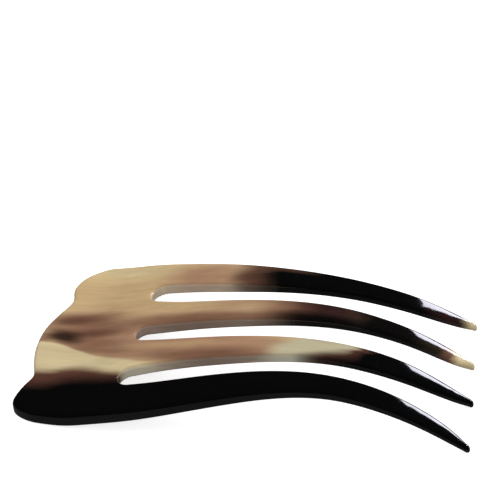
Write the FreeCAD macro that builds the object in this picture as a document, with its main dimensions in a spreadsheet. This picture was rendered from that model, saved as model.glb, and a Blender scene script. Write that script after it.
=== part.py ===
import FreeCAD, Part
import math
import os
import Sketcher

# Hair fork: one piece of polished horn, pressed into a bow and sawn into four prongs.
# Lengths are in millimetres. It is drawn with x from the scalloped head end to the tips, y across
# the prongs and z up from the table that the underside of the head and the tips lie on.
# Left is the side with y above 0. It was sawn by eye, so its two sides are a little different.

SIZES = [
    # name, size, what it is
    ("fork_length", 114.0, "head end to prong tips, along the table"),
    ("side_y", 31.0, "half the widest width, at the side of the head"),
    ("head_thick", 3.6, "thickness of the head"),
    ("edge_round", 0.9, "radius that polishing gives every edge"),
    ("trim", 4.0, "how far the bent blank stands out past the sawn outline"),
    ("flat_end", 8.3, "where the flat underside of the head ends"),
    ("left_lobe_y", 2.5, "end of the middle lobe's foremost stretch on the left"),
    ("right_lobe_y", -4.1, "its end on the right"),
    ("left_side_start", 13.3, "where the scalloped end has run into the left side"),
    ("right_side_start", 15.5, "where it has run into the right side"),
    ("side_end", 18.3, "where scalloped end and prong side meet"),
    ("side_draw", 27.3, "where the sides begin to draw in towards the tips"),
    ("tip_radius", 1.0, "rounding of every prong tip, seen from above"),
    ("left_outer_tip_x", 112.6, "centre of each tip's rounding, from left to right"),
    ("left_outer_tip_y", 22.25, ""),
    ("left_inner_tip_x", 112.65, ""),
    ("left_inner_tip_y", 6.35, ""),
    ("right_inner_tip_x", 113.0, ""),
    ("right_inner_tip_y", -7.35, ""),
    ("right_outer_tip_x", 112.85, ""),
    ("right_outer_tip_y", -23.2, ""),
    ("left_slot_x", 29.8, "centre of the rounded end of the left slot"),
    ("left_slot_y", 16.9, ""),
    ("left_slot_radius", 3.45, "half the width of the left slot at its end"),
    ("right_slot_x", 29.5, "centre of the rounded end of the right slot"),
    ("right_slot_y", -16.95, ""),
    ("right_slot_radius", 3.1, "half the width of the right slot at its end"),
    ("middle_slot_x", 29.05, "centre of the rounded end of the middle slot"),
    ("middle_slot_radius", 2.75, "half the width of the middle slot at its end"),
]

# Points that pull the outline's curves. The scalloped end runs from the middle lobe over a notch
# and round an outer lobe to the side, and a prong's walls run from the head to its tip.
LEFT_SCALLOP = [
    # name, x, y
    ("lobe_turn", 1.8, 7.6),
    ("lobe_back", 2.3, 9.4),
    ("notch", 4.8, 14.8),
    ("corner_in", 2.9, 18.4),
    ("corner_out", 2.9, 21.5),
    ("shoulder_low", 4.3, 25.3),
    ("shoulder_mid", 6.8, 28.0),
    ("shoulder_high", 10.5, 31.0),
]
RIGHT_SCALLOP = [
    # name, x, y
    ("lobe_turn", 0.6, -7.8),
    ("lobe_back", 1.9, -12.6),
    ("notch", 3.8, -16.4),
    ("corner_in", 2.2, -19.1),
    ("corner_out", 0.9, -24.7),
    ("shoulder_low", 1.3, -28.1),
    ("shoulder_mid", 6.6, -30.3),
    ("shoulder_high", 9.8, -30.2),
]
SIDE = [
    # name, x, left y, right y
    ("side_a", 38.0, 29.3, -30.4),
    ("side_b", 52.0, 26.2, -28.6),
    ("side_c", 66.0, 23.5, -25.2),
    ("side_d", 80.0, 22.1, -22.7),
    ("side_e", 94.0, 22.1, -23.4),
    ("side_f", 106.0, 22.8, -23.8),
]
FAR_WALL = [
    # name, x, left y, right y
    ("far_a", 36.0, 20.1, -19.9),
    ("far_b", 48.0, 17.2, -19.2),
    ("far_c", 62.0, 16.1, -17.5),
    ("far_d", 76.0, 15.6, -16.3),
    ("far_e", 90.0, 16.0, -16.6),
    ("far_f", 102.0, 17.0, -18.3),
    ("far_g", 109.0, 19.4, -19.7),
]
NEAR_WALL = [
    # name, x, left y, right y
    ("near_a", 36.0, 12.1, -12.5),
    ("near_b", 50.0, 10.7, -13.0),
    ("near_c", 66.0, 10.2, -11.7),
    ("near_d", 82.0, 9.8, -10.6),
    ("near_e", 97.0, 8.7, -10.9),
    ("near_f", 108.0, 8.3, -10.0),
]
MIDDLE_WALL = [
    # name, x, left y, right y
    ("middle_a", 38.0, 3.1, -3.4),
    ("middle_b", 52.0, 1.8, -4.3),
    ("middle_c", 68.0, 2.4, -4.2),
    ("middle_d", 84.0, 3.3, -4.1),
    ("middle_e", 98.0, 3.4, -4.2),
    ("middle_f", 108.0, 3.4, -5.8),
]

# Side view of the bent blank past the flat of the head: points that pull its underside, and how
# much higher the points of its top lie.
BOW = [
    # name, x, underside, thickness
    ("bow_a", 13.3, 0.0, 3.6),
    ("bow_b", 22.3, 2.3, 3.75),
    ("bow_c", 34.3, 4.9, 3.6),
    ("bow_d", 48.3, 9.0, 3.3),
    ("bow_e", 62.3, 11.5, 3.0),
    ("bow_f", 76.3, 12.1, 2.7),
    ("bow_g", 90.3, 10.1, 2.5),
    ("bow_h", 103.3, 5.7, 2.4),
    ("bow_end", 116.3, -1.95, 2.2),
]

START, END, CENTRE = 1, 2, 3      # a sketch's numbers for the points of an arc, curve or line
X_AXIS, Y_AXIS = -1, -2           # its numbers for the two axes; point 1 of the first is the origin
QUARTER = math.pi / 2
ON_AXIS = "0"
UP = FreeCAD.Vector(0, 0, 1)
TINY = 0.001                      # closer than this is the same place


def fill_sheet(sheet):
    rows = list(SIZES)
    for side, table in (("left", LEFT_SCALLOP), ("right", RIGHT_SCALLOP)):
        for name, x, y in table:
            rows.append((f"{side}_{name}_x", x, "along the fork"))
            rows.append((f"{side}_{name}_y", y, "across the fork"))
    for table in (SIDE, FAR_WALL, NEAR_WALL, MIDDLE_WALL):
        for name, x, left_y, right_y in table:
            rows.append((f"{name}_x", x, "along the fork"))
            rows.append((f"left_{name}_y", left_y, "across the fork"))
            rows.append((f"right_{name}_y", right_y, "across the fork"))
    for name, x, underside, thickness in BOW:
        rows.append((f"{name}_x", x, "along the fork"))
        rows.append((f"{name}_low", underside, "height of the underside"))
        rows.append((f"{name}_thick", thickness, "thickness above it"))
    for number, (name, value, note) in enumerate(rows, start=1):
        sheet.set(f"A{number}", name)
        sheet.set(f"B{number}", str(value))
        sheet.setAlias(f"B{number}", name)
        sheet.set(f"C{number}", note)


def value_of(formula):
    """What a formula such as 'bow_b_low + bow_b_thick' comes to with the sheet's sizes."""
    total = 0.0
    sign = 1.0
    for word in formula.split():
        if word in "+-":
            sign = 1.0 if word == "+" else -1.0
        elif word.isidentifier():
            total += sign * float(getattr(sheet, word))
        else:
            total += sign * float(word)
    return total


def bound(formula):
    """The same formula as an expression on the sheet's cells."""
    return " ".join(f"Dims.{word}" if word.isidentifier() else word for word in formula.split())


def spot_of(point):
    return FreeCAD.Vector(value_of(point[0]), value_of(point[1]), 0)


def new_sketch(name, plane):
    sketch = body.newObject("Sketcher::SketchObject", name)
    planes = [feature for feature in body.Origin.OriginFeatures if feature.Role == plane]
    sketch.AttachmentSupport = [(planes[0], "")]
    sketch.MapMode = "FlatFace"
    return sketch


def drive(sketch, constraint, name, formula):
    index = sketch.addConstraint(constraint)
    sketch.renameConstraint(index, name)
    sketch.setExpression(f"Constraints.{name}", bound(formula))


def pin(sketch, shape, place, point, name):
    """Hold one point of a shape at two formulas; ON_AXIS puts it on that axis."""
    for kind, formula, axis in (("DistanceX", point[0], Y_AXIS), ("DistanceY", point[1], X_AXIS)):
        if formula == ON_AXIS:
            sketch.addConstraint(Sketcher.Constraint("PointOnObject", shape, place, axis))
        else:
            distance = Sketcher.Constraint(kind, X_AXIS, START, shape, place, value_of(formula))
            drive(sketch, distance, f"{name}_{kind[-1].lower()}", formula)


def join(sketch, kind, first, first_place, second, second_place):
    sketch.addConstraint(Sketcher.Constraint(kind, first, first_place, second, second_place))


def add_line(sketch, start, end):
    return sketch.addGeometry(Part.LineSegment(spot_of(start), spot_of(end)), False)


def add_arc(sketch, centre, radius, from_angle, to_angle, name):
    """Arc whose centre and radius are held and whose ends are left to its joins."""
    circle = Part.Circle(spot_of(centre), UP, value_of(radius))
    arc = sketch.addGeometry(Part.ArcOfCircle(circle, from_angle, to_angle), False)
    pin(sketch, arc, CENTRE, centre, name)
    drive(sketch, Sketcher.Constraint("Radius", arc, value_of(radius)), f"{name}_radius", radius)
    return arc


def add_curve(sketch, points, name, loose=()):
    """Cubic curve pulled by its points; those numbered in loose are left to its joins."""
    spots = [spot_of(point) for point in points]
    handles = sketch.addGeometry([Part.Circle(spot, UP, 1.0) for spot in spots], True)
    curve = sketch.addGeometry(Part.BSplineCurve(spots, None, None, False, 3, None, False), False)
    links = [Sketcher.Constraint("Weight", handles[0], 1.0)]
    links += [Sketcher.Constraint("Equal", handles[0], handle) for handle in handles[1:]]
    for number, handle in enumerate(handles):
        links.append(Sketcher.Constraint("InternalAlignment:Sketcher::BSplineControlPoint",
                                         handle, CENTRE, curve, number))
    sketch.addConstraint(links)
    for number, (handle, point) in enumerate(zip(handles, points)):
        if number not in loose:
            pin(sketch, handle, CENTRE, point, f"{name}_{number}")
    return curve


def draw_rectangle(sketch, low, high, name):
    corners = [low, (high[0], low[1]), high, (low[0], high[1])]
    sides = [add_line(sketch, corners[number], corners[(number + 1) % 4]) for number in range(4)]
    for number, side in enumerate(sides):
        join(sketch, "Coincident", side, END, sides[(number + 1) % 4], START)
        sketch.addConstraint(Sketcher.Constraint("Vertical" if number % 2 else "Horizontal", side))
    pin(sketch, sides[0], START, low, f"{name}_low")
    pin(sketch, sides[2], START, high, f"{name}_high")


def add_tip(sketch, name):
    centre = (f"{name}_tip_x", f"{name}_tip_y")
    return add_arc(sketch, centre, "tip_radius", -QUARTER, QUARTER, f"{name}_tip")


def add_slot_end(sketch, name, across):
    centre = (f"{name}_slot_x", across)
    radius = f"{name}_slot_radius"
    return add_arc(sketch, centre, radius, QUARTER, 3 * QUARTER, f"{name}_slot")


def draw_scallop(sketch):
    """The head end, from the corner at the left side to the one at the right side."""
    left = [(f"left_{name}_x", f"left_{name}_y") for name, *_ in LEFT_SCALLOP]
    right = [(f"right_{name}_x", f"right_{name}_y") for name, *_ in RIGHT_SCALLOP]
    right_side = f"{ON_AXIS} - side_y"
    points = [("side_end", "side_y"), ("left_side_start", "side_y")] + left[::-1]
    points += [(ON_AXIS, "left_lobe_y"), (ON_AXIS, "right_lobe_y")]
    points += right + [("right_side_start", right_side), ("side_end", right_side)]
    return add_curve(sketch, points, "scallop")


def draw_prongs(sketch, side, scallop, scallop_end, middle_slot):
    """One side's pair of prongs with the slot between them, up to the middle slot."""
    out, back = ("+", "-") if side == "left" else ("-", "+")
    tip_out, tip_back = (END, START) if side == "left" else (START, END)
    slot_out, slot_back = tip_back, tip_out
    outer, inner, slot = f"{side}_outer_tip", f"{side}_inner_tip", f"{side}_slot"
    outer_tip = add_tip(sketch, f"{side}_outer")
    inner_tip = add_tip(sketch, f"{side}_inner")
    slot_end = add_slot_end(sketch, side, f"{side}_slot_y")
    side_y = f"{ON_AXIS} {out} side_y"
    # Each wall runs from the side or from a slot's rounded end to a tip.
    walls = (
        # name, table, where it starts, what it starts on, its end, where it stops, tip, its end
        ("side", SIDE, ("side_end", side_y), scallop, scallop_end,
         (f"{outer}_x", f"{outer}_y {out} tip_radius"), outer_tip, tip_out),
        ("far", FAR_WALL, (f"{slot}_x", f"{slot}_y {out} {slot}_radius"), slot_end, slot_out,
         (f"{outer}_x", f"{outer}_y {back} tip_radius"), outer_tip, tip_back),
        ("near", NEAR_WALL, (f"{slot}_x", f"{slot}_y {back} {slot}_radius"), slot_end, slot_back,
         (f"{inner}_x", f"{inner}_y {out} tip_radius"), inner_tip, tip_out),
        ("middle", MIDDLE_WALL, ("middle_slot_x", f"{ON_AXIS} {out} middle_slot_radius"),
         middle_slot, slot_out,
         (f"{inner}_x", f"{inner}_y {back} tip_radius"), inner_tip, tip_back),
    )
    for name, table, begin, before, before_end, stop, after, after_end in walls:
        points = [begin] + [(f"{row[0]}_x", f"{side}_{row[0]}_y") for row in table] + [stop]
        if name == "side":
            points.insert(1, ("side_draw", side_y))
        wall = add_curve(sketch, points, f"{side}_{name}", loose=(0, len(points) - 1))
        first_join = "Coincident" if name == "side" else "Tangent"
        join(sketch, first_join, wall, START, before, before_end)
        join(sketch, "Tangent", wall, END, after, after_end)


def draw_outline(sketch):
    """The fork's outline inside a rectangle: what lies between them is sawn away."""
    scallop = draw_scallop(sketch)
    middle_slot = add_slot_end(sketch, "middle", ON_AXIS)
    draw_prongs(sketch, "left", scallop, START, middle_slot)
    draw_prongs(sketch, "right", scallop, END, middle_slot)
    draw_rectangle(sketch, (f"{ON_AXIS} - trim", f"{ON_AXIS} - side_y - trim"),
                   ("fork_length + trim", "side_y + trim"), "waste")


def draw_bow(sketch):
    """Side view of the bent blank: flat under the head, bowed under the prongs."""
    head_end = f"{ON_AXIS} - trim"
    low_points = [("flat_end", ON_AXIS)] + [(name + "_x", name + "_low") for name, *_ in BOW]
    top_points = [("flat_end", "head_thick")]
    top_points += [(name + "_x", f"{name}_low + {name}_thick") for name, *_ in BOW]
    underside = add_curve(sketch, low_points, "underside")
    top = add_curve(sketch, top_points, "top")
    flat_low = add_line(sketch, (head_end, ON_AXIS), ("flat_end", ON_AXIS))
    flat_top = add_line(sketch, (head_end, "head_thick"), ("flat_end", "head_thick"))
    head_face = add_line(sketch, (head_end, "head_thick"), (head_end, ON_AXIS))
    tip_face = add_line(sketch, low_points[-1], top_points[-1])
    pin(sketch, flat_low, START, (head_end, ON_AXIS), "head_low")
    pin(sketch, flat_top, START, (head_end, "head_thick"), "head_top")
    join(sketch, "Coincident", flat_low, END, underside, START)
    join(sketch, "Coincident", flat_top, END, top, START)
    join(sketch, "Coincident", head_face, START, flat_top, START)
    join(sketch, "Coincident", head_face, END, flat_low, START)
    join(sketch, "Coincident", tip_face, START, underside, END)
    join(sketch, "Coincident", tip_face, END, top, END)


def rim_edges(shape):
    """The edges where the sawn walls meet the top and the underside."""
    names = []
    for number, edge in enumerate(shape.Edges, start=1):
        walls = 0
        for face in shape.ancestorsOfType(edge, Part.Face):
            middle = [sum(pair) / 2 for pair in (face.ParameterRange[:2], face.ParameterRange[2:])]
            if abs(face.normalAt(*middle).z) < TINY:
                walls += 1
        if walls == 1:
            names.append(f"Edge{number}")
    return names


def build_fork():
    blank = body.newObject("PartDesign::Pad", "BentBlank")
    blank.Profile = new_sketch("BlankSideView", "XZ_Plane")
    draw_bow(blank.Profile[0])
    blank.setExpression("Length", bound("side_y + trim") + " + " + bound("side_y + trim"))
    blank.Midplane = True
    doc.recompute()

    sawn = body.newObject("PartDesign::Pocket", "SawnOutline")
    sawn.Profile = new_sketch("ForkOutline", "XY_Plane")
    draw_outline(sawn.Profile[0])
    sawn.Type = "ThroughAll"
    sawn.Midplane = True
    doc.recompute()

    rounded = body.newObject("PartDesign::Fillet", "PolishedEdges")
    rounded.Base = (sawn, rim_edges(sawn.Shape))
    rounded.setExpression("Radius", bound("edge_round"))
    body.Tip = rounded
    doc.recompute()


def check_model():
    for item in doc.Objects:
        if {"Invalid", "Error"} & set(item.State):
            raise RuntimeError(f"{item.Name} failed: {item.State}")
    shape = body.Shape
    if shape.isNull() or not shape.isValid() or len(shape.Solids) != 1:
        raise RuntimeError("the fork is not one valid solid")


doc = FreeCAD.newDocument("HairFork")
sheet = doc.addObject("Spreadsheet::Sheet", "Dims")
fill_sheet(sheet)
doc.recompute()
body = doc.addObject("PartDesign::Body", "hair_fork")
body.Label = "hair_fork"
build_fork()
# The model's own frame has its origin under the middle of the fork.
body.setExpression("Placement.Base.x", bound(f"{ON_AXIS} - fork_length") + " / 2")
doc.recompute()
check_model()
box = body.Shape.BoundBox
print(f"{body.Label}: {box.XLength:.2f} x {box.YLength:.2f} x {box.ZLength:.2f} mm,"
      f" from z {box.ZMin:.3f}, {body.Shape.Volume:.0f} mm3")
os.makedirs("parts", exist_ok=True)
body.Shape.exportStep(f"parts/{body.Label}.step")
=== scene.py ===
import bpy
import math
from mathutils import Matrix, Quaternion, Vector, geometry


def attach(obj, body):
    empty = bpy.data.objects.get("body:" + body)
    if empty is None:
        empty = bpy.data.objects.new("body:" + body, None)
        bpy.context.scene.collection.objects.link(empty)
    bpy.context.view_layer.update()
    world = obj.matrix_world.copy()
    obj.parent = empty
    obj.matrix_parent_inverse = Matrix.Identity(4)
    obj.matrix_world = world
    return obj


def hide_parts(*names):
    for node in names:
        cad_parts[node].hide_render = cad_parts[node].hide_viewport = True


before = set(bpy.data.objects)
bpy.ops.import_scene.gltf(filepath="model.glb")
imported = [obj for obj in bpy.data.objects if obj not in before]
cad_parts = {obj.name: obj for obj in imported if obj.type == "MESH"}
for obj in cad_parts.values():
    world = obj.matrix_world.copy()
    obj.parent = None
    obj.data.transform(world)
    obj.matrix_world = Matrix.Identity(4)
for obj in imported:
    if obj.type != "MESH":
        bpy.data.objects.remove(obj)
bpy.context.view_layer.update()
mm = 0.001
print("frame loaded:", sorted(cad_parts))


# Camera: where the fork is looked at from, in millimetres and radians
cameraSetup = {
    "place": (51.65, -236.36, 210.61),
    "turn": -0.2128,           # to the right of straight across the prongs
    "tilt": 0.6237,            # down from level
    "roll": -0.0403,
    "lens": 88.58,
    "sensor": 36,
    "nearest": 0.01,           # metres, as the next one
    "furthest": 20,
}


def makeCamera(setup):
    turn, tilt, roll = setup["turn"], setup["tilt"], setup["roll"]
    ahead = Vector((math.sin(turn) * math.cos(tilt), math.cos(turn) * math.cos(tilt), -math.sin(tilt)))
    level = ahead.cross(Vector((0, 0, 1))).normalized()
    over = level.cross(ahead)
    right = level * math.cos(roll) + over * math.sin(roll)
    up = over * math.cos(roll) - level * math.sin(roll)
    data = bpy.data.cameras.new("camera")
    data.sensor_width = setup["sensor"]
    data.lens = setup["lens"]
    data.clip_start = setup["nearest"]
    data.clip_end = setup["furthest"]
    camera = bpy.data.objects.new("camera", data)
    bpy.context.collection.objects.link(camera)
    axes = Matrix((right, up, -ahead)).transposed().to_4x4()
    camera.matrix_world = Matrix.Translation(Vector(setup["place"]) * mm) @ axes
    bpy.context.scene.camera = camera


makeCamera(cameraSetup)
print("camera placed")


# The fork, drawn flat as it was sawn, in millimetres from the scalloped end. Each curve is pulled by
# its points. Left is the far side in the camera's view.
forkShape = {
    "length": 114.0,
    "halfWidth": 31.0,
    "edgeRound": 0.95,
    "tipRadius": 1.0,
    "scallop": (
        (18.3, 31.0), (13.3, 31.0), (10.5, 31.0), (6.8, 28.0), (4.3, 25.3), (2.9, 21.5),
        (2.9, 18.4), (4.8, 14.8), (2.3, 9.4), (1.8, 7.6), (0.0, 2.5),
        (0.0, -4.1), (0.6, -7.8), (1.9, -12.6), (3.8, -16.4), (2.2, -19.1),
        (0.9, -24.7), (1.3, -28.1), (6.6, -30.3), (9.8, -30.2), (15.5, -31.0), (18.3, -31.0),
    ),
    # Walls, as x and y of the points that pull them: the fork's outer sides, each outer slot's sides
    # far from the fork's middle and near it, and the middle slot's sides
    "sideX": (18.3, 27.3, 38, 52, 66, 80, 94, 106),
    "leftSide": (31.0, 31.0, 29.3, 26.2, 23.5, 22.1, 22.1, 22.8),
    "rightSide": (-31.0, -31.0, -30.4, -28.6, -25.2, -22.7, -23.4, -23.8),
    "farX": (36, 48, 62, 76, 90, 102, 109),
    "leftFar": (20.1, 17.2, 16.1, 15.6, 16.0, 17.0, 19.4),
    "rightFar": (-19.9, -19.2, -17.5, -16.3, -16.6, -18.3, -19.7),
    "nearX": (36, 50, 66, 82, 97, 108),
    "leftNear": (12.1, 10.7, 10.2, 9.8, 8.7, 8.3),
    "rightNear": (-12.5, -13.0, -11.7, -10.6, -10.9, -10.0),
    "middleX": (38, 52, 68, 84, 98, 108),
    "leftMiddle": (3.1, 1.8, 2.4, 3.3, 3.4, 3.4),
    "rightMiddle": (-3.4, -4.3, -4.2, -4.1, -4.2, -5.8),
    "tips": {                  # centre of each tip's rounding
        "leftOuter": (112.6, 22.25),
        "leftInner": (112.65, 6.35),
        "rightInner": (113.0, -7.35),
        "rightOuter": (112.85, -23.2),
    },
    "slots": {                 # centre and radius of each slot's rounded end
        "left": (29.8, 16.9, 3.45),
        "middle": (29.05, 0.0, 2.75),
        "right": (29.5, -16.95, 3.1),
    },
    # The press: x, height of the underside and thickness above it, as points that pull the bow
    "flatEnd": 8.3,
    "headThick": 3.6,
    "bow": (
        (13.3, 0.0, 3.6), (22.3, 2.3, 3.75), (34.3, 4.9, 3.6), (48.3, 9.0, 3.3), (62.3, 11.5, 3.0),
        (76.3, 12.1, 2.7), (90.3, 10.1, 2.5), (103.3, 5.7, 2.4), (116.3, -1.95, 2.2),
    ),
    "footLift": 0.24,          # that the underside rises by towards the tips' ends
    "footFrom": 108.0,
    "crown": 0.32,             # how much lower a tip's edges lie than its middle
    # Where each prong's flat top begins to turn crowned, from the left prong on, and over what length
    "crownFrom": (94.0, 89.0, 87.0, 88.0),
    "crownRun": 20.0,
    # How finely the mesh is made
    "wallStep": 0.75,          # along the walls
    "arcStep": 0.22,           # along the rounded tips and the slots' ends
    "sameSpot": 0.02,          # closer points than this are one
    "lengthSteps": 60,         # for measuring a curve
    "bowSteps": 400,
    "roundSteps": 8,
    "wallRings": 3,
    "fillStep": 1.1,           # between the points of the top and the underside
    "fillGap": 0.45,           # that they keep from the rounded edge
    "fillCell": 2.0,           # squares in which the near points of the edge are looked up
}


# Point on the open, even, cubic curve that the points pull
def pulledCurve(points, share):
    degree = 3
    spans = len(points) - degree
    knots = [0.0] * degree + [number / spans for number in range(spans + 1)] + [1.0] * degree
    span = degree + min(int(share * spans), spans - 1)
    near = [Vector(points[span - degree + number]) for number in range(degree + 1)]
    for level in range(1, degree + 1):
        for number in range(degree, level - 1, -1):
            low = knots[span - degree + number]
            high = knots[span + 1 + number - level]
            near[number] = near[number - 1].lerp(near[number], (share - low) / (high - low))
    return near[degree]


def runOf(shape, points):
    steps = shape["lengthSteps"]
    rough = [pulledCurve(points, number / steps) for number in range(steps + 1)]
    length = sum((b - a).length for a, b in zip(rough, rough[1:]))
    count = round(length / shape["wallStep"])
    return [pulledCurve(points, number / count) for number in range(count + 1)]


def arcOf(shape, centre, radius, fromAngle, toAngle):
    count = round(abs(toAngle - fromAngle) * radius / shape["arcStep"])
    turns = [fromAngle + (toAngle - fromAngle) * number / count for number in range(count + 1)]
    return [Vector((centre[0] + radius * math.cos(turn), centre[1] + radius * math.sin(turn)))
            for turn in turns]


# The points that pull one wall, from the head to the tip
def wallPoints(shape, side, wall):
    out = 1 if side == "left" else -1
    radius = shape["tipRadius"]
    tipName = side + ("Outer" if wall in ("Side", "Far") else "Inner")
    tip = shape["tips"][tipName]
    tipOut = out if wall in ("Side", "Near") else -out
    slotX, slotY, slotRadius = shape["slots"]["middle" if wall == "Middle" else side]
    slotOut = out if wall in ("Far", "Middle") else -out
    between = list(zip(shape[wall.lower() + "X"], shape[side + wall]))
    first = [] if wall == "Side" else [(slotX, slotY + slotOut * slotRadius)]
    return first + between + [(tip[0], tip[1] + tipOut * radius)]


# The closed outline, against the clock seen from above, starting at the left side's corner
def outlineOf(shape):
    quarter = math.pi / 2
    walls = {}
    for side in ("right", "left"):
        for wall in ("Side", "Far", "Near", "Middle"):
            walls[side + wall] = runOf(shape, wallPoints(shape, side, wall))

    def tip(name):
        return arcOf(shape, shape["tips"][name], shape["tipRadius"], -quarter, quarter)

    def slotEnd(name):
        x, y, radius = shape["slots"][name]
        return arcOf(shape, (x, y), radius, 3 * quarter, quarter)

    # Out along each prong, round its tip towards the left, and back round the slot's end
    route = (
        runOf(shape, shape["scallop"]),
        walls["rightSide"], tip("rightOuter"), walls["rightFar"][::-1], slotEnd("right"),
        walls["rightNear"], tip("rightInner"), walls["rightMiddle"][::-1], slotEnd("middle"),
        walls["leftMiddle"], tip("leftInner"), walls["leftNear"][::-1], slotEnd("left"),
        walls["leftFar"], tip("leftOuter"), walls["leftSide"][::-1],
    )
    outline = []
    for run in route:
        for point in run:
            if not outline or (point - outline[-1]).length > shape["sameSpot"]:
                outline.append(point)
    if (outline[-1] - outline[0]).length < shape["sameSpot"]:
        outline.pop()
    return outline, walls


# The way into the horn at each point of the outline
def inwardOf(points):
    found = []
    for number, point in enumerate(points):
        along = points[(number + 1) % len(points)] - points[number - 1]
        found.append(Vector((-along.y, along.x)).normalized())
    return found


# Rows of x, height of the underside and height of the top, from the head's flat end on
def bowOf(shape):
    pulls = [(shape["flatEnd"], 0.0, shape["headThick"])]
    pulls += [(x, low, low + thick) for x, low, thick in shape["bow"]]
    steps = shape["bowSteps"]
    return [tuple(pulledCurve(pulls, number / steps)) for number in range(steps + 1)]


# Height of the underside and thickness above it, that far from the scalloped end
def bowAt(shape, bow, x):
    if x <= shape["flatEnd"]:
        return 0.0, shape["headThick"]
    for (x0, low0, top0), (x1, low1, top1) in zip(bow, bow[1:]):
        if x <= x1:
            mix = (x - x0) / (x1 - x0)
            low = low0 + (low1 - low0) * mix
            return low, top0 + (top1 - top0) * mix - low
    raise ValueError("past the bow's end: " + str(x))


# Where across the fork a wall runs, that far from the scalloped end
def wallAt(run, x):
    if x <= run[0].x:
        return run[0].y
    for a, b in zip(run, run[1:]):
        if a.x <= x <= b.x and b.x > a.x:
            return a.y + (b.y - a.y) * (x - a.x) / (b.x - a.x)
    return run[-1].y


# From 1 at a prong's left wall through 0 along its middle to -1 at its right wall, and which prong
def prongShare(walls, x, y):
    pairs = (("leftSide", "leftFar"), ("leftNear", "leftMiddle"),
             ("rightMiddle", "rightNear"), ("rightFar", "rightSide"))
    best, prong = math.inf, 0
    for number, (high, low) in enumerate(pairs):
        top, bottom = wallAt(walls[high], x), wallAt(walls[low], x)
        share = (y - (top + bottom) / 2) / ((top - bottom) / 2)
        if abs(share) < abs(best):
            best, prong = share, number
    return max(-1.0, min(1.0, best)), prong


# Eases from 0 at low to 1 at high
def smooth(value, low, high):
    value = max(0.0, min(1.0, (value - low) / (high - low)))
    return value * value * (3 - 2 * value)


# Whether a spot lies in the closed outline
def insideOf(points, spot):
    inside = False
    x, y = spot
    for a, b in zip(points, points[1:] + points[:1]):
        if (a.y > y) != (b.y > y) and x < a.x + (b.x - a.x) * (y - a.y) / (b.y - a.y):
            inside = not inside
    return inside


# Points that fill a flat face inside its rim, in staggered rows
def fillOf(shape, rim):
    step, gap, cellSize = shape["fillStep"], shape["fillGap"], shape["fillCell"]
    cells = {}
    for point in rim:
        cells.setdefault((int(point.x // cellSize), int(point.y // cellSize)), []).append(point)
    fill = []
    for column in range(int(shape["length"] / step)):
        for row in range(int(2 * shape["halfWidth"] / step)):
            x = (column + 0.5) * step
            y = (row + 0.5 + 0.5 * (column % 2)) * step - shape["halfWidth"]
            spot = Vector((x, y))
            cellX, cellY = int(x // cellSize), int(y // cellSize)
            close = [point for i in (-1, 0, 1) for j in (-1, 0, 1)
                     for point in cells.get((cellX + i, cellY + j), ())]
            crowded = any((point - spot).length < gap for point in close)
            if not crowded and insideOf(rim, spot):
                fill.append(spot)
    return fill


# Writes on each point of the blank what the press needs there
def markBlank(mesh, shape, bow, walls, points):
    values = {"underside": [], "thickness": [], "across": []}
    for point in points:
        low, thick = bowAt(shape, bow, point.x)
        lift = shape["footLift"] * smooth(point.x, shape["footFrom"], shape["length"])
        values["underside"].append((low + lift) * mm)
        values["thickness"].append((thick - lift) * mm)
        share, prong = prongShare(walls, point.x, point.y)
        crownFrom = shape["crownFrom"][prong]
        crowned = smooth(point.x, crownFrom, crownFrom + shape["crownRun"])
        values["across"].append(crowned * share * share)
    for name, numbers in values.items():
        mesh.attributes.new(name, "FLOAT", "POINT").data.foreach_set("value", numbers)


# The sawn and rounded blank before it is pressed: flat, from z of 1 mm at the top to -1 at the underside
def makeBlank(shape):
    bow = bowOf(shape)
    outline, walls = outlineOf(shape)
    inward = inwardOf(outline)
    count = len(outline)
    points, shares, bands = [], [], []

    # A band of points round the outline, so far inside it and so deep below the face
    def addBand(inset, depth, part):
        bands.append(list(range(len(points), len(points) + count)))
        for point, way in zip(outline, inward):
            spot = point + way * inset
            thick = bowAt(shape, bow, spot.x)[1]
            points.append(spot)
            shares.append(part * (1 - 2 * depth / thick))

    # Rounded upper edge, sawn wall and rounded lower edge
    radius, steps, rings = shape["edgeRound"], shape["roundSteps"], shape["wallRings"]
    turns = [math.pi / 2 * number / steps for number in range(steps + 1)]
    rounding = [(radius * (1 - math.sin(turn)), radius * (1 - math.cos(turn))) for turn in turns]
    for inset, depth in rounding:
        addBand(inset, depth, 1)
    for number in range(1, rings + 1):
        addBand(0.0, radius, 1 - 2 * number / (rings + 1))
    for inset, depth in reversed(rounding):
        addBand(inset, depth, -1)
    faces = []
    for upper, lower in zip(bands, bands[1:]):
        for number in range(count):
            after = (number + 1) % count
            faces.append((upper[number], lower[number], lower[after], upper[after]))

    # The same triangles fill the top and, turned over, the underside
    rim = [points[index] for index in bands[0]]
    insideOnly, closeness = 1, 1e-5
    filled = geometry.delaunay_2d_cdt(rim + fillOf(shape, rim), [], [list(range(count))],
                                      insideOnly, closeness)
    places, triangles, origins = filled[0], filled[2], filled[3]
    for side, band in ((1, bands[0]), (-1, bands[-1])):
        indices = []
        for place, origin in zip(places, origins):
            onRim = [number for number in origin if number < count]
            if onRim:
                indices.append(band[onRim[0]])
            else:
                indices.append(len(points))
                points.append(place)
                shares.append(side)
        for triangle in triangles:
            corners = [indices[number] for number in triangle]
            faces.append(corners if side > 0 else corners[::-1])

    mesh = bpy.data.meshes.new("blank")
    half = shape["length"] / 2
    spots = [((point.x - half) * mm, point.y * mm, share * mm) for point, share in zip(points, shares)]
    mesh.from_pydata(spots, [], faces)
    markBlank(mesh, shape, bow, walls, points)
    mesh.validate()
    return mesh


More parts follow.
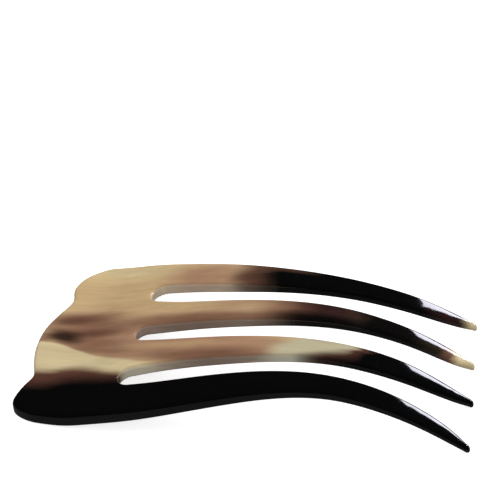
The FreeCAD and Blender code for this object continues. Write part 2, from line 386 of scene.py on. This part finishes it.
# Short hand for adding and linking nodes
class Nodes:
    def __init__(self, tree):
        self.tree = tree

    def add(self, kind, *inputs, **settings):
        node = self.tree.nodes.new(kind)
        for name, value in settings.items():
            setattr(node, name, value)
        for number, value in enumerate(inputs):
            self.put(node.inputs[number], value)
        return node

    def put(self, socket, value):
        if isinstance(value, bpy.types.NodeSocket):
            self.tree.links.new(value, socket)
        else:
            socket.default_value = value

    def math(self, operation, *inputs):
        return self.add("ShaderNodeMath", *inputs, operation=operation).outputs[0]


# Presses the flat blank into its bow and crowns the prongs' tips
def pressTree(material):
    tree = bpy.data.node_groups.new("pressIntoBow", "GeometryNodeTree")
    tree.is_modifier = True
    sockets = tree.interface
    sockets.new_socket("Blank", in_out="INPUT", socket_type="NodeSocketGeometry")
    for name in ("Bow", "Thickness", "Crown"):
        sockets.new_socket(name, in_out="INPUT", socket_type="NodeSocketFloat")
    sockets.new_socket("Fork", in_out="OUTPUT", socket_type="NodeSocketGeometry")
    nodes = Nodes(tree)
    blank, bow, thickness, crown = nodes.add("NodeGroupInput").outputs[:4]

    def attribute(name):
        node = nodes.add("GeometryNodeInputNamedAttribute", name, data_type="FLOAT")
        return node.outputs["Attribute"]

    place = nodes.add("ShaderNodeSeparateXYZ", nodes.add("GeometryNodeInputPosition").outputs[0])
    share = nodes.math("DIVIDE", place.outputs[2], mm)
    upShare = nodes.math("MULTIPLY_ADD", share, 0.5, 0.5)
    low = nodes.math("MULTIPLY", attribute("underside"), bow)
    thick = nodes.math("MULTIPLY", attribute("thickness"), thickness)
    high = nodes.math("MULTIPLY_ADD", thick, upShare, low)
    drop = nodes.math("MULTIPLY", attribute("across"), crown)
    topDrop = nodes.math("MULTIPLY", drop, nodes.math("MAXIMUM", share, 0.0))
    z = nodes.math("SUBTRACT", high, topDrop)
    spot = nodes.add("ShaderNodeCombineXYZ", place.outputs[0], place.outputs[1], z)
    moved = nodes.add("GeometryNodeSetPosition", blank)
    nodes.put(moved.inputs["Position"], spot.outputs[0])
    shaded = nodes.add("GeometryNodeSetShadeSmooth", moved.outputs[0])
    solid = nodes.add("GeometryNodeRealizeInstances", shaded.outputs[0])
    finished = nodes.add("GeometryNodeSetMaterial", solid.outputs[0])
    finished.inputs["Material"].default_value = material
    nodes.add("NodeGroupOutput", finished.outputs[0])
    return tree


def makeFork(shape, material):
    blank = bpy.data.objects.new("hornBlank", makeBlank(shape))
    bpy.context.collection.objects.link(blank)
    press = blank.modifiers.new("press", "NODES")
    press.node_group = pressTree(material)
    sizes = {"Bow": 1.0, "Thickness": 1.0, "Crown": shape["crown"] * mm}   # the first two as shares
    for item in press.node_group.interface.items_tree:
        if item.in_out == "INPUT" and item.name in sizes:
            press[item.identifier] = sizes[item.name]
    seen = blank.evaluated_get(bpy.context.evaluated_depsgraph_get())
    mesh = bpy.data.meshes.new_from_object(seen)
    mesh.name = "hornFork"
    bpy.data.objects.remove(blank)
    for name in ("underside", "thickness", "across"):
        mesh.attributes.remove(mesh.attributes[name])
    fork = bpy.data.objects.new("hornFork", mesh)
    bpy.context.collection.objects.link(fork)
    print("fork pressed:", len(mesh.polygons), "faces")
    return fork


# Horn, in millimetres from the fork's middle, x to the tips and y to the left. Each stain lies on
# those before it.
hornFinish = {
    "colours": {
        "cream": (0.66, 0.50, 0.265),
        "tan": (0.55, 0.385, 0.20),
        "pale": (0.62, 0.505, 0.295),
        "bone": (0.50, 0.445, 0.29),
        "rose": (0.37, 0.198, 0.122),
        "brown": (0.195, 0.094, 0.058),
        "umber": (0.098, 0.040, 0.027),
        "soot": (0.028, 0.014, 0.010),
        "maroon": (0.026, 0.010, 0.009),
        "black": (0.0012, 0.0013, 0.0015),
    },
    # Name, x, y, half length, half width, turn in degrees, softness of the edge, strength and colour
    "stains": (
        ("headTan", -40, 17.0, 26, 7.0, -4, 0.60, 0.95, "tan"),
        ("headLight", -40, 27.8, 14, 1.5, -5, 0.90, 0.70, "pale"),
        ("middleRose", -30, 0.0, 27, 9.5, -5, 0.45, 0.88, "rose"),
        ("bandBrown", -46, 6.6, 10, 2.7, 6, 0.70, 0.90, "brown"),
        ("bandUmber", -50.0, 5.9, 5.0, 1.5, 12, 0.80, 0.70, "umber"),
        ("betweenTan", -52.0, 2.9, 5.0, 0.6, 8, 0.95, 0.15, "tan"),
        ("streakBrown", -44.0, 1.6, 12.0, 2.9, 4, 0.70, 0.82, "brown"),
        ("streakUmber", -45.5, 0.4, 6.5, 1.6, 5, 0.90, 0.75, "umber"),
        ("edgeBrown", -55.6, -3.6, 2.4, 2.0, 80, 0.80, 0.70, "brown"),
        ("rootBrown", -40.0, -4.4, 12, 3.0, -18, 0.60, 0.75, "brown"),
        ("spotSoot", -50.0, -0.9, 4.2, 2.2, -10, 0.72, 0.95, "soot"),
        ("slotTan", -33.0, 9.0, 6, 3.0, 0, 0.90, 0.50, "tan"),
        ("leftOuterRose", -16, 22.0, 12, 6.0, -8, 0.70, 0.85, "rose"),
        ("leftOuterUmber", -1.0, 20.0, 7.0, 9.0, -14, 0.55, 0.96, "umber"),
        ("rightInnerRose", -9, -8.0, 24, 5.6, -4, 0.50, 0.85, "rose"),
        ("rightInnerTan", -19, -6.2, 11, 1.3, -3, 0.90, 0.60, "tan"),
        ("rightInnerBrown", -9, -11.2, 14, 2.2, -2, 0.75, 0.92, "brown"),
        ("rightInnerBone", 19, -10.5, 8.6, 19.0, -50, 0.24, 1.0, "bone"),
        ("leftInnerTan", -18, 9.3, 13, 2.0, -5, 0.80, 0.80, "tan"),
        ("leftInnerBrown", -8, 3.2, 24, 2.4, -3, 0.60, 0.88, "brown"),
        ("leftInnerRose", 0, 8.0, 13, 3.6, -3, 0.70, 0.60, "rose"),
        ("leftInnerBack", 9, 7.0, 7, 8.0, -20, 0.60, 0.75, "brown"),
        ("leftInnerUmber", 17, 6.0, 9, 8.0, -24, 0.50, 0.94, "umber"),
        ("leftInnerMaroon", 28, 6.0, 15, 9.0, 0, 0.30, 0.94, "maroon"),
    ),
    # Crisp upper edge of the pale wedge in the head, how soft it is, and from where to where it fades
    "wedgeTop": ((-60, -3.4), (-54, -3.6), (-50, -4.2), (-46, -5.6), (-42, -7.2), (-37, -9.2),
                 (-31, -10.9), (-24, -12.3), (-10, -13.5), (60, -14.0)),
    "wedgeSoft": 0.5,
    "wedgeFade": (-28.0, -22.0),
    # Where the horn turns reddish brown, below the wedge and past the pale stretch of the prong, and
    # where that turns black
    "fringeTop": ((-60, -15.4), (-54, -15.0), (-50, -14.4), (-46, -13.0), (-42, -12.8), (-38, -13.6),
                  (-34, -14.8), (-29, -15.8), (0, -15.0), (8, -14.4), (14, -11.6), (20, -9.2),
                  (26, -6.8), (31, -2.0), (60, -1.0)),
    "fringeSoft": 1.9,
    "blackTop": ((-60, -20.6), (-54, -20.2), (-50, -19.4), (-46, -17.8), (-42, -16.8), (-38, -16.8),
                 (-34, -17.2), (-30, -17.4), (-26, -16.4), (0, -15.4), (9, -15.0), (14.5, -12.4),
                 (21, -10.0), (28, -7.4), (33.5, -1.6), (60, -1.0)),
    "blackSoft": 3.0,
    "lineBox": (120.0, 70.0),  # that the lines above are drawn in, about the fork's middle
    # More stains, over those lines
    "prongStains": (
        ("leftOuterBlack", 31, 19.0, 32.0, 9.0, 0, 0.16, 1.0, "black"),
        ("leftOuterStreak", 7, 22.6, 5.0, 0.7, -9, 0.90, 0.30, "brown"),
        ("leftInnerBlack", 40, 6.0, 13.0, 9.0, 0, 0.30, 0.97, "black"),
        ("leftInnerDark", 19, 2.6, 14.0, 2.6, 0, 0.60, 0.95, "black"),
        ("leftOuterFringe", 50.0, 21.0, 6.0, 6.0, 0, 0.50, 0.80, "maroon"),
        ("leftOuterTip", 58.5, 22.0, 4.6, 5.0, 0, 0.60, 1.0, "pale"),
        ("leftInnerFringe", 50.0, 6.5, 2.6, 5.0, 0, 0.60, 0.70, "brown"),
        ("leftInnerTip", 58.5, 6.5, 8.2, 6.0, 0, 0.20, 1.0, "pale"),
    ),
    "squareness": 2.6,         # 2 makes a stain an oval, and more squares it
    "sway": (6.0, 1.6),        # how far the grain pushes the stains, along the fork and across it
    # Painted reflection of the pale floor on the steep sawn walls beside the polished faces, greyer and
    # lighter than the faces: upward part of the way that each faces, and their tint
    "paintedReflectionFacing": (0.15, 0.8),
    "paintedReflectionHue": 0.512,
    "paintedReflectionColourfulness": 0.58,
    "paintedReflectionBrightness": 1.5,
    # Streaks of the grain: length, width, detail, and where the pattern starts
    "streaks": {
        "swayAlong": (32, 3.2, 2, 0),
        "swayAcross": (20, 9, 2, 7),
        "fine": (34, 0.7, 4, 3),
        "broad": (48, 2.6, 3, 11),
        "polish": (14, 0.5, 4, 5),
        "scratch": (22, 0.6, 2, 17),
    },
    "fineGrain": 0.22,         # how much the grain darkens and lightens
    "broadGrain": 0.44,
    "roughness": (0.04, 0.10),
    # Unevenness of the polished faces: waves to the millimetre, depth, strength and share of scratches
    "rippleScale": 0.12,
    "rippleDetail": 1.0,
    "rippleDepth": 0.2,
    "rippleStrength": 0.07,
    "scratchShare": 0.01,
    "bend": 1.54,              # of light that enters the horn
    "soak": 0.12,              # share of the light that comes out again elsewhere
    "soakColour": (1.0, 0.55, 0.3),
    "soakDepth": 1.2,
}


# Mask of one stain: a soft, squarish oval whose edge follows the horn's grain
def softStainGroup(squareness):
    tree = bpy.data.node_groups.new("softStain", "ShaderNodeTree")
    sockets = tree.interface
    sockets.new_socket("Place", in_out="INPUT", socket_type="NodeSocketVector")
    for name in ("Centre X", "Centre Y", "Half Length", "Half Width", "Turn", "Softness"):
        sockets.new_socket(name, in_out="INPUT", socket_type="NodeSocketFloat")
    sockets.new_socket("Mask", in_out="OUTPUT", socket_type="NodeSocketFloat")
    nodes = Nodes(tree)
    start = nodes.add("NodeGroupInput").outputs
    place, centreX, centreY, halfLength, halfWidth, turn, softness = start[:7]
    parts = nodes.add("ShaderNodeSeparateXYZ", place).outputs
    x = nodes.math("SUBTRACT", parts[0], centreX)
    y = nodes.math("SUBTRACT", parts[1], centreY)
    cosine, sine = nodes.math("COSINE", turn), nodes.math("SINE", turn)
    along = nodes.math("ADD", nodes.math("MULTIPLY", x, cosine), nodes.math("MULTIPLY", y, sine))
    across = nodes.math("SUBTRACT", nodes.math("MULTIPLY", y, cosine), nodes.math("MULTIPLY", x, sine))
    alongShare = nodes.math("ABSOLUTE", nodes.math("DIVIDE", along, halfLength))
    acrossShare = nodes.math("ABSOLUTE", nodes.math("DIVIDE", across, halfWidth))
    raised = [nodes.math("POWER", share, squareness) for share in (alongShare, acrossShare)]
    reach = nodes.math("POWER", nodes.math("ADD", *raised), 1 / squareness)
    inner = nodes.math("SUBTRACT", 1.0, softness)
    outer = nodes.math("ADD", 1.0, softness)
    ramp = nodes.add("ShaderNodeMapRange", reach, inner, outer, 1.0, 0.0, interpolation_type="SMOOTHSTEP")
    nodes.add("NodeGroupOutput", ramp.outputs[0])
    return tree


# 1 on the left of a line along the fork, 0 on its right
def boundary(nodes, x, y, line, softness, box):
    length, width = box
    curve = nodes.add("ShaderNodeFloatCurve", 1.0)
    drawn = curve.mapping.curves[0].points
    spots = [(lineX / length + 0.5, lineY / width + 0.5) for lineX, lineY in line]
    drawn[0].location = spots[0]
    drawn[1].location = spots[-1]
    for spot in spots[1:-1]:
        drawn.new(*spot)
    curve.mapping.update()
    nodes.put(curve.inputs["Value"], nodes.math("MULTIPLY_ADD", x, 1 / length, 0.5))
    height = nodes.math("MULTIPLY_ADD", curve.outputs[0], width, -width / 2)
    over = nodes.math("SUBTRACT", y, height)
    ramp = nodes.add("ShaderNodeMapRange", over, -softness, softness, 0.0, 1.0,
                     interpolation_type="SMOOTHSTEP")
    return ramp.outputs[0]


def makeHorn(finish):
    material = bpy.data.materials.new("horn")
    material.use_nodes = True
    tree = material.node_tree
    tree.nodes.clear()
    nodes = Nodes(tree)
    where = nodes.add("ShaderNodeTexCoord").outputs
    scaled = nodes.add("ShaderNodeVectorMath", where["Object"], (1 / mm,) * 3, operation="MULTIPLY")
    spot = scaled.outputs[0]

    def streaks(name):
        length, width, detail, start = finish["streaks"][name]
        stretched = nodes.add("ShaderNodeMapping", spot, (start, 0, 0), (0, 0, 0),
                              (1 / length, 1 / width, 1 / width))
        noise = nodes.add("ShaderNodeTexNoise", stretched.outputs[0])
        noise.inputs["Scale"].default_value = 1.0
        noise.inputs["Detail"].default_value = detail
        return noise.outputs["Fac"]

    # Push the stains about a little, more along the fork than across it
    swayAlong = nodes.math("SUBTRACT", streaks("swayAlong"), 0.5)
    swayAcross = nodes.math("SUBTRACT", streaks("swayAcross"), 0.5)
    parts = nodes.add("ShaderNodeSeparateXYZ", spot).outputs
    x = nodes.math("MULTIPLY_ADD", swayAlong, finish["sway"][0], parts[0])
    y = nodes.math("MULTIPLY_ADD", swayAcross, finish["sway"][1], parts[1])
    place = nodes.add("ShaderNodeCombineXYZ", x, y, 0.0).outputs[0]
    stainGroup = softStainGroup(finish["squareness"])

    def mix(amount, under, over):
        node = nodes.add("ShaderNodeMix", data_type="RGBA")    # its colours are sockets 6 and 7, and 2
        nodes.put(node.inputs[0], amount)
        nodes.put(node.inputs[6], under)
        nodes.put(node.inputs[7], over)
        return node.outputs[2]

    def rgba(name):
        return (*finish["colours"][name], 1.0)

    def layStains(colour, stains):
        for name, centreX, centreY, halfLength, halfWidth, turn, softness, strength, tint in stains:
            node = nodes.add("ShaderNodeGroup", node_tree=stainGroup, label=name)
            sizes = (place, centreX, centreY, halfLength, halfWidth, math.radians(turn), softness)
            for number, value in enumerate(sizes):
                nodes.put(node.inputs[number], value)
            colour = mix(nodes.math("MULTIPLY", node.outputs[0], strength), colour, rgba(tint))
        return colour

    def rightOf(alongX, line, softness):
        left = boundary(nodes, alongX, y, finish[line], finish[softness], finish["lineBox"])
        return nodes.math("SUBTRACT", 1.0, left)

    colour = layStains(rgba("cream"), finish["stains"])
    inHead = nodes.add("ShaderNodeMapRange", x, *finish["wedgeFade"], 1.0, 0.0).outputs[0]
    wedge = nodes.math("MULTIPLY", rightOf(parts[0], "wedgeTop", "wedgeSoft"), inHead)
    colour = mix(wedge, colour, rgba("pale"))

    # Painted reflection of the pale floor: the steep walls, found by how little they face up, are turned
    # greyer and lighter than the polished faces
    facing = nodes.add("ShaderNodeSeparateXYZ", where["Normal"])
    level = nodes.math("ABSOLUTE", facing.outputs[2])
    paintedReflectionMask = nodes.add("ShaderNodeMapRange", level, *finish["paintedReflectionFacing"], 1.0, 0.0,
                      interpolation_type="SMOOTHSTEP")
    paintedReflectionTint = nodes.add("ShaderNodeHueSaturation")
    paintedReflectionTint.inputs["Hue"].default_value = finish["paintedReflectionHue"]
    paintedReflectionTint.inputs["Saturation"].default_value = finish["paintedReflectionColourfulness"]
    paintedReflectionTint.inputs["Value"].default_value = finish["paintedReflectionBrightness"]
    nodes.put(paintedReflectionTint.inputs["Fac"], paintedReflectionMask.outputs[0])
    nodes.put(paintedReflectionTint.inputs["Color"], colour)
    colour = paintedReflectionTint.outputs[0]

    # Reddish brown and black towards the right, then the last stains
    for line, softness, tint in (("fringeTop", "fringeSoft", "umber"), ("blackTop", "blackSoft", "black")):
        colour = mix(rightOf(x, line, softness), colour, rgba(tint))
    colour = layStains(colour, finish["prongStains"])

    # Fine grain along the fork
    fine, broad = finish["fineGrain"], finish["broadGrain"]
    fineShade = nodes.math("MULTIPLY_ADD", streaks("fine"), fine, 1 - fine / 2)
    broadShade = nodes.math("MULTIPLY_ADD", streaks("broad"), broad, 1 - broad / 2)
    grained = nodes.add("ShaderNodeVectorMath", colour, operation="SCALE")
    nodes.put(grained.inputs["Scale"], nodes.math("MULTIPLY", fineShade, broadShade))

    # Polish that isn't quite even, over a face that isn't quite flat
    smoothest, roughest = finish["roughness"]
    rough = nodes.math("MULTIPLY_ADD", streaks("polish"), roughest - smoothest, smoothest)
    ripple = nodes.add("ShaderNodeTexNoise", spot)
    ripple.inputs["Scale"].default_value = finish["rippleScale"]
    ripple.inputs["Detail"].default_value = finish["rippleDetail"]
    height = nodes.math("MULTIPLY_ADD", streaks("scratch"), finish["scratchShare"], ripple.outputs["Fac"])
    bump = nodes.add("ShaderNodeBump")
    bump.inputs["Strength"].default_value = finish["rippleStrength"]
    bump.inputs["Distance"].default_value = finish["rippleDepth"] * mm
    nodes.put(bump.inputs["Height"], height)

    shader = nodes.add("ShaderNodeBsdfPrincipled")
    nodes.put(shader.inputs["Base Color"], grained.outputs[0])
    nodes.put(shader.inputs["Roughness"], rough)
    nodes.put(shader.inputs["Normal"], bump.outputs[0])
    shader.inputs["IOR"].default_value = finish["bend"]
    shader.inputs["Subsurface Weight"].default_value = finish["soak"]
    shader.inputs["Subsurface Radius"].default_value = finish["soakColour"]
    shader.inputs["Subsurface Scale"].default_value = finish["soakDepth"] * mm
    nodes.add("ShaderNodeOutputMaterial", shader.outputs[0])
    return material


horn = makeHorn(hornFinish)
fork = makeFork(forkShape, horn)
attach(fork, "root")
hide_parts("hair_fork")
print("horn finished")


# Studio, in metres: a pale floor under a soft dome. The gloss shows a low window behind on the right,
# and the slots' ends a smaller one beside it.
studio = {
    "floorHalf": 3.0,
    "floorGap": 0.00003,       # that keeps the floor's face off the head's underside
    "floorColour": (0.62, 0.62, 0.61),
    "floorGrain": 40,
    "floorMottle": 0.02,
    "floorRough": 0.9,
    "floorShine": 0.1,
    "floorGlow": 0.82,         # lifts the floor to white for the camera alone
    "floorInGloss": 0.24,      # share of the floor's brightness that the horn mirrors
    # Name, degrees to the right of straight behind, degrees up, size, turn in degrees and power
    "windows": (
        ("tipWindow", 32.1, 17.6, (0.258, 0.195), 45.0, 1.8),
        ("slotWindow", 55.0, 18.5, (0.16, 0.17), 0.0, 3.0),
    ),
    "windowAway": 0.9,
    "windowColour": (0.88, 0.89, 1.0),
    "dome": 1.85,              # straight overhead, fading to none at the horizon
    "inGloss": 0.02,           # strength of the dome that the horn mirrors
    "backdrop": 1.0,           # and that the camera sees
}


def makeFloor(setup):
    half, low = setup["floorHalf"], -setup["floorGap"]
    mesh = bpy.data.meshes.new("floor")
    mesh.from_pydata([(-half, -half, low), (half, -half, low), (half, half, low), (-half, half, low)], [],
                     [(0, 1, 2, 3)])
    floor = bpy.data.objects.new("floor", mesh)
    bpy.context.collection.objects.link(floor)
    material = bpy.data.materials.new("paleFloor")
    material.use_nodes = True
    nodes = Nodes(material.node_tree)
    shader = material.node_tree.nodes["Principled BSDF"]
    path = nodes.add("ShaderNodeLightPath").outputs
    where = nodes.add("ShaderNodeTexCoord").outputs["Object"]
    noise = nodes.add("ShaderNodeTexNoise", where)
    noise.inputs["Scale"].default_value = setup["floorGrain"]
    mottle = setup["floorMottle"]
    shade = nodes.math("MULTIPLY_ADD", noise.outputs["Fac"], mottle, 1 - mottle / 2)
    dimmed = nodes.add("ShaderNodeMapRange", path["Is Glossy Ray"], 0.0, 1.0, 1.0, setup["floorInGloss"])
    tinted = nodes.add("ShaderNodeVectorMath", setup["floorColour"], operation="SCALE")
    nodes.put(tinted.inputs["Scale"], nodes.math("MULTIPLY", shade, dimmed.outputs[0]))
    nodes.put(shader.inputs["Base Color"], tinted.outputs[0])
    glow = nodes.math("MULTIPLY", path["Is Camera Ray"], setup["floorGlow"])
    nodes.put(shader.inputs["Emission Strength"], glow)
    shader.inputs["Emission Color"].default_value = (1, 1, 1, 1)
    shader.inputs["Roughness"].default_value = setup["floorRough"]
    shader.inputs["Specular IOR Level"].default_value = setup["floorShine"]
    # From below the floor is clear, so that the fork's underside shows
    output = material.node_tree.nodes["Material Output"]
    clear = nodes.add("ShaderNodeBsdfTransparent")
    under = nodes.add("ShaderNodeNewGeometry").outputs["Backfacing"]
    both = nodes.add("ShaderNodeMixShader", under, shader.outputs[0], clear.outputs[0])
    nodes.put(output.inputs["Surface"], both.outputs[0])
    mesh.materials.append(material)


def makeWindows(setup):
    for name, towards, rise, size, turn, power in setup["windows"]:
        data = bpy.data.lights.new(name, "AREA")
        data.shape = "RECTANGLE"
        data.size, data.size_y = size
        data.energy = power
        data.color = setup["windowColour"]
        lamp = bpy.data.objects.new(name, data)
        bpy.context.collection.objects.link(lamp)
        right, up = math.radians(towards), math.radians(rise)
        way = Vector((math.sin(right) * math.cos(up), math.cos(right) * math.cos(up), math.sin(up)))
        lamp.location = way * setup["windowAway"]
        turned = Quaternion((0, 0, 1), math.radians(turn))
        lamp.rotation_euler = ((-way).to_track_quat("-Z", "Y") @ turned).to_euler()


# Soft light from above that the gloss hardly mirrors, and pale where the camera looks past the floor
def makeDome(setup):
    world = bpy.data.worlds.new("dome")
    world.use_nodes = True
    bpy.context.scene.world = world
    nodes = Nodes(world.node_tree)
    shader = world.node_tree.nodes["Background"]
    path = nodes.add("ShaderNodeLightPath").outputs
    way = nodes.add("ShaderNodeSeparateXYZ", nodes.add("ShaderNodeTexCoord").outputs["Generated"])
    height = nodes.math("MAXIMUM", way.outputs[2], 0.0)
    level = nodes.math("MULTIPLY", nodes.math("MULTIPLY", height, height), setup["dome"])
    for ray, share in (("Is Glossy Ray", setup["inGloss"]), ("Is Camera Ray", setup["backdrop"])):
        level = nodes.add("ShaderNodeMapRange", path[ray], 0.0, 1.0, level, share).outputs[0]
    nodes.put(shader.inputs["Strength"], level)
    shader.inputs["Color"].default_value = (1, 1, 1, 1)


makeFloor(studio)
makeWindows(studio)
makeDome(studio)
bpy.context.scene.view_settings.view_transform = "Standard"
print("studio lit")
